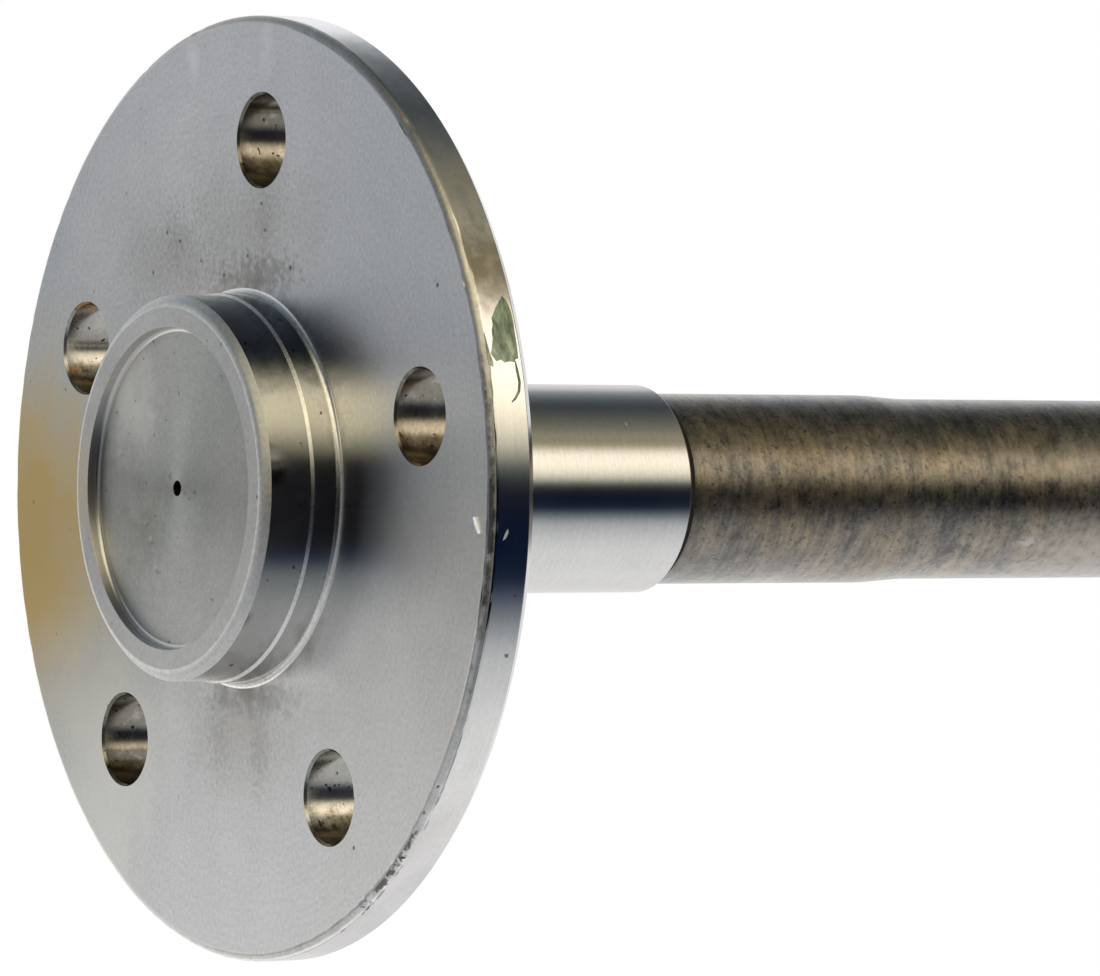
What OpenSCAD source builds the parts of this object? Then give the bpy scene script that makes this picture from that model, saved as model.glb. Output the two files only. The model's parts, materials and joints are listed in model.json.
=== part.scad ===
// Rear axle shaft with a wheel flange, forged and machined from one piece of steel.
// The axis lies along Y: the wheel side faces -Y and the splined inner end points to +Y.
// The origin is the centre of the flange's wheel face. All sizes are in millimetres.

/* [Wheel flange] */
// Outer diameter of the flange
flange_d = 155; // [148:0.5:175]
// Thickness of the flange
flange_t = 8.8; // [7:0.1:14]
// Chamfer on the rim, wheel side
rim_front_chamfer = 0.9; // [0.3:0.1:2]
// Chamfer on the rim, inboard side
rim_back_chamfer = 1.7; // [0.3:0.1:3]
// Slope of the flange's back, which is thicker towards the hub
flange_draft_deg = 2; // [0:0.5:4]

/* [Stud holes] */
// Number of stud holes
stud_count = 5; // [4:1:6]
// Diameter of the circle through the stud holes
stud_circle_d = 114.3; // [108:0.1:121]
// Bore of each stud hole
stud_hole_d = 15; // [12:0.1:16.5]
// Chamfer on the mouth of each stud hole
stud_hole_chamfer = 0.4; // [0.1:0.1:1]
// Angle of the first stud hole from straight up
stud_clock = 6.5; // [0:0.5:72]

/* [Pilot] */
// Diameter of the pilot that centres the wheel
wheel_pilot_d = 63; // [58.5:0.1:70]
// How far the pilot stands out of the flange
pilot_len = 14; // [10:0.1:20]
// Chamfer on the pilot's end
pilot_chamfer = 1.3; // [0.5:0.1:2]
// Radial step from the wheel pilot up to the drum pilot behind it
drum_pilot_step = 0.4; // [0.2:0.1:1.5]
// Length of the drum pilot, from the flange
drum_pilot_len = 4.9; // [3:0.1:6]
// Fillet between the drum pilot and the flange
pilot_root_fillet = 0.9; // [0.3:0.1:2.5]

/* [Recess in the pilot's end] */
// Diameter of the recess
recess_d = 52.6; // [30:0.1:54]
// Depth of the recess
recess_depth = 2; // [0.6:0.1:4]
// Largest fillet round the recess floor
recess_fillet = 0.8; // [0.3:0.1:3]

/* [Journal] */
// Diameter of the ground journal that the bearing rollers and the seal run on
journal_d = 35; // [34:0.01:38]
// Distance from the wheel face to the end of the ground length
journal_end = 77.3; // [60:0.1:100]
// Largest chamfer on the journal's inner edge
journal_chamfer = 0.5; // [0.2:0.1:1]
// Largest fillet at the foot of the shoulder below that edge
shoulder_fillet = 0.6; // [0.2:0.1:1]
// Diameter of the forged hub at the back of the flange
hub_d = 56; // [54:0.5:80]
// Height of the forged hub
hub_t = 3.5; // [2:0.5:10]
// Fillet from the hub down to the journal
hub_fillet = 7; // [3:0.5:8]

/* [Shaft] */
// Distance from the wheel face to the inner tip
overall_len = 740; // [600:1:850]
// Diameter of the as-forged shaft next to the journal
neck_d = 32.2; // [31.5:0.1:33.5]
// Diameter of the as-forged shaft from there to the spline
bar_d = 31; // [30.7:0.1:31.5]
// Distance from the wheel face to the start of the step between them
step_start = 122.5; // [105:0.5:200]
// Length of that step
step_len = 8; // [3:0.5:30]

/* [Spline] */
// Number of spline teeth
spline_teeth = 28; // [26:1:31]
// Spline module, 24 teeth to an inch of pitch diameter
spline_module = 1.058; // [1:0.001:1.1]
// Flank angle of the teeth
spline_flank_deg = 30; // [25:1:37]
// Length of the full-depth teeth
spline_len = 55; // [35:1:80]
// Angle at which the tooth gaps run out of the shaft
runout_deg = 12; // [8:1:20]

/* [Clip groove and tip] */
// Width of the groove for the retaining clip
clip_groove_w = 5.6; // [4:0.1:8]
// Diameter at the bottom of the clip groove
clip_groove_d = 21; // [18:0.1:23]
// Diameter of the button past the groove
button_d = 27.8; // [26:0.1:28]
// Thickness of the button
button_t = 6; // [4:0.5:10]
// Chamfer on the tip and on both ends of the spline
end_chamfer = 1.2; // [0.5:0.1:1.8]

/* [Centre holes] */
// Drill diameter in the pilot's end
pilot_center_d = 1.6; // [1:0.1:2.4]
// Diameter at the mouth of the cone in the pilot's end
pilot_center_cone_d = 2.6; // [2.5:0.1:8]
// Depth of the hole in the pilot's end
pilot_center_depth = 5; // [5:0.5:12]
// Drill diameter in the tip
tip_center_d = 4; // [2:0.1:5]
// Diameter at the mouth of the cone in the tip
tip_center_cone_d = 9; // [6:0.1:12]
// Depth of the hole in the tip
tip_center_depth = 11; // [8:0.5:20]

/* [Hidden] */
$fn = 96;
// How far a cut runs past the surface it opens
overcut = 1;
// Half of the 60 degree cone that lathe centres have
center_half_deg = 30;
// Slope of a drill's point
drill_point_deg = 31;
// Height of a spline tooth above the pitch circle and depth of a gap below it, in modules
spline_addendum = 0.5;
spline_dedendum = 0.675;

flange_r = flange_d / 2;
wheel_pilot_r = wheel_pilot_d / 2;
drum_pilot_r = wheel_pilot_r + drum_pilot_step;
recess_r = recess_d / 2;
recess_floor_y = recess_depth - pilot_len;
recess_corner_r = min(recess_fillet, recess_depth);

journal_r = journal_d / 2;
neck_r = neck_d / 2;
bar_r = bar_d / 2;
// Where the sloped back of the flange meets the hub
hub_start = flange_t + (flange_r - rim_back_chamfer - hub_d / 2) * tan(flange_draft_deg);
hub_end = hub_start + hub_t;
// The shoulder keeps a flat between its chamfer and its fillet, however low it is
shoulder_h = journal_r - neck_r;
journal_edge = min(journal_chamfer, shoulder_h / 3);
shoulder_root_r = min(shoulder_fillet, shoulder_h / 2);
step_end = step_start + step_len;

spline_pitch_r = spline_teeth * spline_module / 2;
spline_major_r = spline_pitch_r + spline_addendum * spline_module;
spline_root_r = spline_pitch_r - spline_dedendum * spline_module;
button_start = overall_len - button_t;
groove_start = button_start - clip_groove_w;
spline_start = groove_start - spline_len;
// Where the run-out of a tooth gap comes out of the shaft
runout_len = (max(bar_r, spline_major_r) - spline_root_r) / tan(runout_deg);
seat_start = spline_start - runout_len;

// Fills an inside corner at [x, y] with an arc; side is -1 or 1, the way the corner opens along y
module corner_fillet(x, y, r, side) {
    difference() {
        translate([x, side < 0 ? y - r : y])
            square(r);
        translate([x + r, y + side * r])
            circle(r);
    }
}

// Half section of the pilot, its two diameters and the recess in its end
module pilot_section() {
    difference() {
        polygon([
            [0, -pilot_len],
            [wheel_pilot_r - pilot_chamfer, -pilot_len],
            [wheel_pilot_r, pilot_chamfer - pilot_len],
            [wheel_pilot_r, -drum_pilot_len - drum_pilot_step],
            [drum_pilot_r, -drum_pilot_len],
            [drum_pilot_r, 0],
            [0, 0]
        ]);
        translate([0, -pilot_len - overcut])
            square([recess_r - recess_corner_r, recess_depth + overcut]);
        translate([0, -pilot_len - overcut])
            square([recess_r, recess_depth - recess_corner_r + overcut]);
        translate([recess_r - recess_corner_r, recess_floor_y - recess_corner_r])
            circle(recess_corner_r);
    }
    corner_fillet(drum_pilot_r, 0, pilot_root_fillet, -1);
}

// Half section of the flange and the forged hub behind it
module flange_section() {
    polygon([
        [0, 0],
        [flange_r - rim_front_chamfer, 0],
        [flange_r, rim_front_chamfer],
        [flange_r, flange_t - rim_back_chamfer],
        [flange_r - rim_back_chamfer, flange_t],
        [hub_d / 2, hub_start],
        [journal_r + hub_fillet, hub_end],
        [0, hub_end]
    ]);
    corner_fillet(journal_r, hub_end, hub_fillet, 1);
}

// Half section of the ground journal and the square shoulder at its inner end
module journal_section() {
    polygon([
        [0, hub_end],
        [journal_r, hub_end],
        [journal_r, journal_end - journal_edge],
        [journal_r - journal_edge, journal_end],
        [0, journal_end]
    ]);
    corner_fillet(neck_r, journal_end, shoulder_root_r, 1);
}

// Half section of the as-forged shaft, the spline's blank, the clip groove and the button
module shaft_section() {
    polygon([
        [0, journal_end],
        [neck_r, journal_end],
        [neck_r, step_start],
        [bar_r, step_end],
        [bar_r, seat_start],
        [spline_major_r, spline_start],
        [spline_major_r, groove_start - end_chamfer],
        [spline_major_r - end_chamfer, groove_start],
        [clip_groove_d / 2, groove_start],
        [clip_groove_d / 2, button_start],
        [button_d / 2, button_start],
        [button_d / 2, overall_len - end_chamfer],
        [button_d / 2 - end_chamfer, overall_len],
        [0, overall_len]
    ]);
}

// One stud hole, with its chamfered mouth on the wheel face
module stud_hole() {
    mouth_r = stud_hole_d / 2 + stud_hole_chamfer;
    translate([stud_circle_d / 2, 0, -overcut]) {
        cylinder(d = stud_hole_d, h = hub_start + 2 * overcut);
        cylinder(r1 = mouth_r + overcut, r2 = stud_hole_d / 2, h = stud_hole_chamfer + overcut);
    }
}

// The gap between two spline teeth: a straight cut and the slope where the cutter lifts out
module spline_gap() {
    reach = spline_major_r + overcut;
    root_half = gap_half_width(spline_root_r);
    reach_half = gap_half_width(reach);
    gap = [[spline_root_r, -root_half], [reach, -reach_half], [reach, reach_half], [spline_root_r, root_half]];
    translate([0, 0, spline_start])
        linear_extrude(spline_len + clip_groove_w / 2)
            polygon(gap);
    translate([spline_root_r, 0, spline_start])
        rotate([0, -runout_deg, 0])
            translate([-spline_root_r, 0, -2 * runout_len])
                linear_extrude(2 * runout_len)
                    polygon(gap);
}

// Half the width of a tooth gap at radius r, from straight flanks through the pitch circle
function gap_half_width(r) =
    PI * spline_module / 4 + (r - spline_pitch_r) * tan(spline_flank_deg);

// A lathe centre hole that opens towards -Z: a cone, a drilled length and the drill's point
module center_hole(drill_d, cone_d, depth) {
    drill_r = drill_d / 2;
    cone_r = cone_d / 2;
    cone_depth = (cone_r - drill_r) / tan(center_half_deg);
    rotate_extrude()
        polygon([
            [0, -overcut],
            [cone_r, -overcut],
            [cone_r, 0],
            [drill_r, cone_depth],
            [drill_r, depth],
            [0, depth + drill_r * tan(drill_point_deg)]
        ]);
}

// The whole shaft, turned about Z with the wheel side down, then laid along Y
module axle_shaft() {
    color([0.62, 0.62, 0.6])
    rotate([-90, 0, 0])
    difference() {
        rotate_extrude() {
            pilot_section();
            flange_section();
            journal_section();
            shaft_section();
        }
        for (i = [0 : stud_count - 1])
            rotate([0, 0, stud_clock + i * 360 / stud_count - 90])
                stud_hole();
        for (i = [0 : spline_teeth - 1])
            rotate([0, 0, i * 360 / spline_teeth])
                spline_gap();
        translate([0, 0, recess_floor_y])
            center_hole(pilot_center_d, pilot_center_cone_d, pilot_center_depth);
        translate([0, 0, overall_len])
            mirror([0, 0, 1])
                center_hole(tip_center_d, tip_center_cone_d, tip_center_depth);
    }
}

axle_shaft();
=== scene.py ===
import json
import math
import random

import bmesh
import bpy
from mathutils import Matrix, Vector


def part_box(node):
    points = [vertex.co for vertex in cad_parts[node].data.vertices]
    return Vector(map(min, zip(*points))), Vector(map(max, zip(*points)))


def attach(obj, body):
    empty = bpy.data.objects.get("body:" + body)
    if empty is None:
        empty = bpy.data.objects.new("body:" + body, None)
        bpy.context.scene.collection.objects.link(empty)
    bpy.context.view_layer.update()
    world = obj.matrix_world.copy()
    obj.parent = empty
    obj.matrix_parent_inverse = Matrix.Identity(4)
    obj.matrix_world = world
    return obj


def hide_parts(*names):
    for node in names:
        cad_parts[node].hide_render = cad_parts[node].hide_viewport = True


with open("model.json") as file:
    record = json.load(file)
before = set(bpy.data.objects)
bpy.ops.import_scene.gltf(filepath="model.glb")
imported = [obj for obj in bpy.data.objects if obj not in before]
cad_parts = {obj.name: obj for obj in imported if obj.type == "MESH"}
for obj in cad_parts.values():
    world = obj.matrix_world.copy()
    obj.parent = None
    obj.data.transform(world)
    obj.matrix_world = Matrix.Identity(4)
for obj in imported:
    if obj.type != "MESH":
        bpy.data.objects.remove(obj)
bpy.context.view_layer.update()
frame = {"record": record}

# The axle shaft itself: one steel forging, turned on a lathe from the pilot to the tip.
# Its half section is drawn as a line of corners, each with the small radius the tool leaves,
# and spun about the shaft's own axis, which lies along Y.
MM = 0.001
mounts = {m["name"]: m["dims"] for m in frame["record"]["mounts"]}
cad_low, cad_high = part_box("axle_shaft")
pilot_front = cad_low.y
tip = cad_high.y
flange_radius = cad_high.z
flange_back = 8.8 * MM
rim_front_chamfer = 0.9 * MM
rim_back_chamfer = 1.7 * MM
back_slope = math.tan(math.radians(2.0))
wheel_pilot_radius = mounts["wheel_pilot"]["r_mm"] * MM
drum_pilot_radius = mounts["drum_pilot"]["r_mm"] * MM
drum_pilot_front = -4.9 * MM
pilot_chamfer = 1.3 * MM
pilot_step = drum_pilot_radius - wheel_pilot_radius
pilot_root_radius = 0.9 * MM
recess_radius = 26.3 * MM
recess_floor = pilot_front + 2.0 * MM
recess_corner = 0.8 * MM
hub_radius = 28.0 * MM
hub_start = flange_back + (flange_radius - rim_back_chamfer - hub_radius) * back_slope
hub_end = hub_start + 3.5 * MM
journal_radius = mounts["bearing_journal"]["r_mm"] * MM
hub_fillet = 7.0 * MM
hub_top_radius = journal_radius + hub_fillet
journal_end = 77.3 * MM
journal_edge = 0.467 * MM
shoulder_root = 0.6 * MM
dirt_and_shade_reach = 1.35 * MM
neck_radius = 16.1 * MM
step_start = 122.5 * MM
step_end = 130.5 * MM
bar_radius = 15.5 * MM
spline_root = 14.1 * MM
spline_pitch = 14.812 * MM
spline_major = 15.341 * MM
spline_start = 673.4 * MM
runout_slope = math.tan(math.radians(12.0))
runout_start = spline_start - (bar_radius - spline_root) / runout_slope
groove_start = 728.4 * MM
button_start = 734.0 * MM
groove_radius = 10.5 * MM
button_radius = 13.9 * MM
end_chamfer = 1.2 * MM
pilot_drill = 0.8 * MM
pilot_cone = 1.3 * MM
pilot_center_depth = 5.0 * MM
tip_drill = 2.0 * MM
tip_cone = 4.5 * MM
cone_slope = math.tan(math.radians(30.0))
drill_point = math.tan(math.radians(31.0))
tip_center_depth = 11.0 * MM
broken = 0.15 * MM
crisp = 0.1 * MM
fine = 0.06 * MM
soft_edge = 0.7 * MM
worn_round = 0.7 * MM
knock_reach = 0.6 * MM
hub_edge = 0.8 * MM
fillet_share = 0.99
step_blend = 1.5 * MM
runout_blend = 0.4 * MM
groove_corner = 0.5 * MM
button_edge = 0.3 * MM
wide_rounding, small_rounding = 1.0 * MM, 0.2 * MM
weld = 0.002 * MM
spin_steps = 448

corners = [
    (recess_floor + pilot_center_depth + pilot_drill * drill_point, 0.0, 0.0),
    (recess_floor + pilot_center_depth, pilot_drill, 0.0),
    (recess_floor + (pilot_cone - pilot_drill) / cone_slope, pilot_drill, 0.0),
    (recess_floor, pilot_cone, fine),
    (recess_floor, recess_radius, recess_corner),
    (pilot_front, recess_radius, crisp),
    (pilot_front, wheel_pilot_radius - pilot_chamfer, soft_edge),
    (pilot_front + pilot_chamfer, wheel_pilot_radius, fine),
    (drum_pilot_front - pilot_step, wheel_pilot_radius, fine),
    (drum_pilot_front, drum_pilot_radius, fine),
    (0.0, drum_pilot_radius, pilot_root_radius),
    (0.0, flange_radius - rim_front_chamfer - knock_reach, 0.0),
    (0.0, flange_radius - rim_front_chamfer, worn_round),
    (rim_front_chamfer, flange_radius, worn_round),
    (rim_front_chamfer + knock_reach, flange_radius, 0.0),
    (flange_back - rim_back_chamfer, flange_radius, broken),
    (flange_back, flange_radius - rim_back_chamfer, broken),
    (hub_start, hub_radius, hub_edge),
    (hub_end, hub_top_radius, 0.0),
    (hub_end, journal_radius, hub_fillet * fillet_share),
    (journal_end - journal_edge, journal_radius, crisp),
    (journal_end, journal_radius - journal_edge, crisp),
    (journal_end, neck_radius, shoulder_root),
    (journal_end + dirt_and_shade_reach, neck_radius, 0.0),
    (step_start, neck_radius, step_blend),
    (step_end, bar_radius, step_blend),
    (runout_start, bar_radius, runout_blend),
    (spline_start, spline_major, runout_blend),
    (groove_start - end_chamfer, spline_major, broken),
    (groove_start, spline_major - end_chamfer, broken),
    (groove_start, groove_radius, groove_corner),
    (button_start, groove_radius, groove_corner),
    (button_start, button_radius, button_edge),
    (tip - end_chamfer, button_radius, broken),
    (tip, button_radius - end_chamfer, broken),
    (tip, tip_cone, fine),
    (tip - (tip_cone - tip_drill) / cone_slope, tip_drill, 0.0),
    (tip - tip_center_depth, tip_drill, 0.0),
    (tip - tip_center_depth - tip_drill * drill_point, 0.0, 0.0),
]
body = bmesh.new()
outline = [body.verts.new((radius, along, 0.0)) for along, radius, rounding in corners]
for first, second in zip(outline, outline[1:]):
    body.edges.new((first, second))
for corner, (along, radius, rounding) in zip(outline, corners):
    if rounding > 0.0:
        segments = 12 if rounding > wide_rounding else 6 if rounding > small_rounding else 3
        bmesh.ops.bevel(
            body, geom=[corner], offset=rounding, offset_type="OFFSET", affect="VERTICES",
            segments=segments, profile=0.5, profile_type="SUPERELLIPSE", material=-1)
bmesh.ops.spin(
    body, geom=body.verts[:] + body.edges[:], cent=(0.0, 0.0, 0.0), axis=(0.0, 1.0, 0.0),
    angle=math.tau, steps=spin_steps, use_merge=True)
bmesh.ops.remove_doubles(body, verts=body.verts[:], dist=weld)
bmesh.ops.recalc_face_normals(body, faces=body.faces[:])
shaft = bpy.data.objects.new("axle_forging", bpy.data.meshes.new("axle_forging"))
body.to_mesh(shaft.data)
body.free()
bpy.context.scene.collection.objects.link(shaft)

# The five stud holes: drilled through the flange and lightly countersunk on the wheel side.
# Each drill is a round face drawn out along the axis, from the countersink to past the back.
stud_circle = mounts["wheel_studs"]["pcd_mm"] * MM / 2.0
stud_hole = mounts["wheel_studs"]["hole_r_mm"] * MM
stud_count = mounts["wheel_studs"]["count"]
first_stud = math.radians(6.5)
countersink = 0.4 * MM
drill_past = 1.0 * MM
drill_segments = 112
stud_centres = [
    Vector((stud_circle * math.sin(first_stud + i * math.tau / stud_count), 0.0,
            stud_circle * math.cos(first_stud + i * math.tau / stud_count)))
    for i in range(stud_count)]
drills = bmesh.new()
for centre in stud_centres:
    stations = [
        (-drill_past, stud_hole + countersink + drill_past),
        (countersink, stud_hole),
        (hub_start + drill_past, stud_hole),
    ]
    along, radius = stations[0]
    lie_down = Matrix.Translation(centre + Vector((0.0, along, 0.0))) @ Matrix.Rotation(math.pi / 2, 4, "X")
    disc = bmesh.ops.create_circle(
        drills, cap_ends=True, radius=radius, segments=drill_segments, matrix=lie_down)
    face = disc["verts"][0].link_faces[0]
    front = face
    for (y0, r0), (y1, r1) in zip(stations, stations[1:]):
        moved = bmesh.ops.extrude_face_region(drills, geom=[face])["geom"]
        if face != front:
            bmesh.ops.delete(drills, geom=[face], context="FACES_ONLY")
        ring = [v for v in moved if isinstance(v, bmesh.types.BMVert)]
        face = [f for f in moved if isinstance(f, bmesh.types.BMFace)][0]
        for v in ring:
            v.co = centre + (v.co - centre - Vector((0.0, y0, 0.0))) * (r1 / r0) + Vector((0.0, y1, 0.0))
bmesh.ops.recalc_face_normals(drills, faces=drills.faces[:])
drill_tool = bpy.data.objects.new("stud_drills", bpy.data.meshes.new("stud_drills"))
drills.to_mesh(drill_tool.data)
drills.free()
bpy.context.scene.collection.objects.link(drill_tool)

# The spline: 28 gaps hobbed into the inner end, each running out where the cutter lifts away.
# One gap is a flat-flanked wedge drawn along the axis, copied round the shaft.
spline_teeth = 28
tooth_pitch = math.tau * spline_pitch / spline_teeth
flank = math.tan(math.radians(30.0))
cut_past = 1.0 * MM
gap_top = spline_major + cut_past
gap_root_half = tooth_pitch / 4.0 + (spline_root - spline_pitch) * flank
gap_top_half = tooth_pitch / 4.0 + (gap_top - spline_pitch) * flank
runout_length = 2.0 * (spline_start - runout_start)
hob = bmesh.new()
for tooth in range(spline_teeth):
    start = (groove_start + button_start) / 2.0
    wedge = [hob.verts.new((r, start, w)) for r, w in (
        (spline_root, -gap_root_half), (gap_top, -gap_top_half),
        (gap_top, gap_top_half), (spline_root, gap_root_half))]
    face = hob.faces.new(wedge)
    front = face
    made = list(wedge)
    for shift in (Vector((0.0, spline_start - start, 0.0)),
                  Vector((runout_length * runout_slope, -runout_length, 0.0))):
        moved = bmesh.ops.extrude_face_region(hob, geom=[face])["geom"]
        if face != front:
            bmesh.ops.delete(hob, geom=[face], context="FACES_ONLY")
        ring = [v for v in moved if isinstance(v, bmesh.types.BMVert)]
        face = [f for f in moved if isinstance(f, bmesh.types.BMFace)][0]
        bmesh.ops.translate(hob, verts=ring, vec=shift)
        made += ring
    turned = Matrix.Rotation(tooth * math.tau / spline_teeth, 3, "Y")
    bmesh.ops.rotate(hob, verts=made, cent=(0.0, 0.0, 0.0), matrix=turned)
bmesh.ops.recalc_face_normals(hob, faces=hob.faces[:])
hob_tool = bpy.data.objects.new("spline_hob", bpy.data.meshes.new("spline_hob"))
hob.to_mesh(hob_tool.data)
hob.free()
bpy.context.scene.collection.objects.link(hob_tool)

for tool in (drill_tool, hob_tool):
    cut = shaft.modifiers.new(tool.name, "BOOLEAN")
    cut.operation = "DIFFERENCE"
    cut.solver = "MANIFOLD"
    cut.object = tool
machined = bpy.data.meshes.new_from_object(shaft.evaluated_get(bpy.context.evaluated_depsgraph_get()))
shaft.modifiers.clear()
shaft.data = machined
for tool in (drill_tool, hob_tool):
    bpy.data.objects.remove(tool)

# Knocks from handling: the edge of the wheel face is dinged all round, more at the lower right.
# Each knock pushes the edge back into the chamfer, by a tenth or two of a millimetre.
scattered_knocks = 90
knock_shift = 1.5
knock_limit = 2.0
knock_falloff = 2.0
knock_lean = 0.7
sharp_angle = math.radians(36.0)
smallest_edge = 0.0005 * MM
# Each placed knock: its angle in degrees, and its depth and width in millimetres.
placed_knocks = (
    (-5.0, 0.2, 1.6), (-8.0, 0.15, 1.2), (-12.0, 0.2, 2.0), (-38.0, 0.2, 1.8), (-44.0, 0.2, 1.5),
    (-52.0, 0.3, 2.2), (-57.0, 0.25, 1.6), (-61.0, 0.35, 2.4), (-66.0, 0.2, 1.4), (24.0, 0.18, 1.4),
    (47.0, 0.2, 1.6), (75.0, 0.15, 1.2))
knock_dice = random.Random(11)
knocks = [
    (knock_dice.uniform(0.0, math.tau), knock_dice.uniform(0.02, 0.1) * MM, knock_dice.uniform(0.8, 2.2) * MM)
    for _ in range(scattered_knocks)]
knocks += [
    (math.radians(turn + knock_dice.uniform(-knock_shift, knock_shift)), depth * MM, width * MM)
    for turn, depth, width in placed_knocks]
worn = bmesh.new()
worn.from_mesh(shaft.data)
edge_inner = flange_radius - rim_front_chamfer - knock_reach / 2.0
for v in worn.verts:
    across = math.hypot(v.co.x, v.co.z)
    if across > edge_inner and v.co.y < rim_front_chamfer + knock_reach / 2.0:
        turn = math.atan2(v.co.z, v.co.x)
        push = 0.0
        for dinged, depth, width in knocks:
            away = abs((turn - dinged + math.pi) % math.tau - math.pi) * flange_radius / width
            if away < knock_limit:
                push = max(push, depth * math.exp(-knock_falloff * away * away))
        outward = Vector((v.co.x, 0.0, v.co.z)) / across
        v.co += (Vector((0.0, 1.0, 0.0)) - outward) * (push * knock_lean)
bmesh.ops.dissolve_degenerate(worn, dist=smallest_edge, edges=worn.edges[:])
for edge in worn.edges:
    edge.smooth = len(edge.link_faces) == 2 and edge.calc_face_angle(0.0) < sharp_angle
for face in worn.faces:
    face.smooth = True
worn.to_mesh(shaft.data)
worn.free()
even = shaft.modifiers.new("even_shading", "WEIGHTED_NORMAL")
even.keep_sharp = True
even.weight = 100
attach(shaft, "root")
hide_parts("axle_shaft")


# The turned wheel face: bare steel with the fine rings of the facing cut and a thin oil film.
# The rings spread a reflection outwards from the axis. The face is tinted golden towards its left edge,
# old oil has dried brown above the pilot, and there are smudges and a few dark specks.
def place(tree, kind, inputs=None, **settings):
    made = tree.nodes.new(kind)
    for name, value in settings.items():
        setattr(made, name, value)
    for socket, value in (inputs or {}).items():
        if isinstance(value, bpy.types.NodeSocket):
            tree.links.new(value, made.inputs[socket])
        else:
            made.inputs[socket].default_value = value
    return made


def sums(tree, how, first, second):
    return place(tree, "ShaderNodeMath", {0: first, 1: second}, operation=how).outputs[0]


def vectors(tree, how, first, second=(0.0, 0.0, 0.0)):
    return place(tree, "ShaderNodeVectorMath", {0: first, 1: second}, operation=how).outputs["Vector"]


def noise(tree, vector, scale, detail=4.0, roughness=0.5):
    return place(tree, "ShaderNodeTexNoise", {
        "Vector": vector, "Scale": scale, "Detail": detail, "Roughness": roughness}).outputs["Fac"]


def remap(tree, value, low, high, to_low, to_high):
    made = place(tree, "ShaderNodeMapRange", {
        "Value": value, "From Min": low, "From Max": high, "To Min": to_low, "To Max": to_high})
    return made.outputs["Result"]


def blend_colour(tree, share, first, second, how="MIX"):
    made = place(tree, "ShaderNodeMix", data_type="RGBA", blend_type=how)
    for socket, value in ((0, share), (6, first), (7, second)):
        if isinstance(value, bpy.types.NodeSocket):
            tree.links.new(value, made.inputs[socket])
        elif socket == 0:
            made.inputs[socket].default_value = value
        else:
            made.inputs[socket].default_value = (*value, 1.0)
    return made.outputs[2]


def lathe_lines(tree, along, around, slant=0.0):
    spot = place(tree, "ShaderNodeTexCoord").outputs["Object"]
    flat = vectors(tree, "MULTIPLY", spot, (1.0, 0.0, 1.0))
    reach = place(tree, "ShaderNodeVectorMath", {0: flat}, operation="LENGTH").outputs["Value"]
    outward = vectors(tree, "NORMALIZE", flat)
    depth = place(tree, "ShaderNodeSeparateXYZ", {0: spot}).outputs["Y"]
    line = sums(tree, "MULTIPLY", sums(tree, "ADD", reach, depth), along)
    turn = sums(tree, "MULTIPLY", depth, slant)
    slanted = place(
        tree, "ShaderNodeVectorRotate", {"Vector": outward, "Angle": turn}, rotation_type="Y_AXIS")
    ring = place(
        tree, "ShaderNodeVectorMath", {0: slanted.outputs["Vector"], "Scale": around}, operation="SCALE")
    side = place(tree, "ShaderNodeCombineXYZ", {"Y": line}).outputs["Vector"]
    return spot, outward, vectors(tree, "ADD", ring.outputs["Vector"], side)


def groove_tangent(tree, outward):
    facing = place(tree, "ShaderNodeNewGeometry").outputs["True Normal"]
    hoop = vectors(tree, "CROSS_PRODUCT", outward, (0.0, 1.0, 0.0))
    return vectors(tree, "NORMALIZE", vectors(tree, "CROSS_PRODUCT", facing, hoop))


def turned_steel(name, colour, roughness, spread, cloud=0.05, lines=0.03, speckle=0.03, groove=0.1):
    material = bpy.data.materials.new(name)
    material.use_nodes = True
    tree = material.node_tree
    shader = tree.nodes["Principled BSDF"]
    spot, outward, vector = lathe_lines(tree, along=3000.0, around=5.0)
    streak = noise(tree, vector, scale=1.0)
    patch = noise(tree, spot, scale=70.0, detail=6.0, roughness=0.6)
    grain = noise(tree, spot, scale=1400.0, detail=3.0)
    light = remap(tree, streak, 0.3, 0.7, 1.0 - lines, 1.0 + lines)
    soft = remap(tree, patch, 0.3, 0.7, 1.0 - cloud, 1.0 + cloud)
    speck = remap(tree, grain, 0.3, 0.7, 1.0 - speckle, 1.0 + speckle)
    shade = sums(tree, "MULTIPLY", sums(tree, "MULTIPLY", light, soft), speck)
    tone = place(tree, "ShaderNodeVectorMath", {0: colour, "Scale": shade}, operation="SCALE")
    tree.links.new(tone.outputs["Vector"], shader.inputs["Base Color"])
    shader.inputs["Metallic"].default_value = 1.0
    rough = remap(tree, patch, 0.3, 0.7, roughness * 0.93, roughness * 1.07)
    tree.links.new(rough, shader.inputs["Roughness"])
    shader.inputs["Anisotropic"].default_value = spread
    if spread > 0.0:
        tree.links.new(groove_tangent(tree, outward), shader.inputs["Tangent"])
    bump = place(tree, "ShaderNodeBump", {"Height": streak, "Strength": groove, "Distance": 0.02 * MM})
    tree.links.new(bump.outputs["Normal"], shader.inputs["Normal"])
    return material


def tint(material, share, colour, how="MIX"):
    tree = material.node_tree
    socket = tree.nodes["Principled BSDF"].inputs["Base Color"]
    before = socket.links[0].from_socket
    tree.links.new(blend_colour(tree, share, before, colour, how), socket)


# Lays a soft patch of colour: used both for real stains and for painted light and shade.
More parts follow.
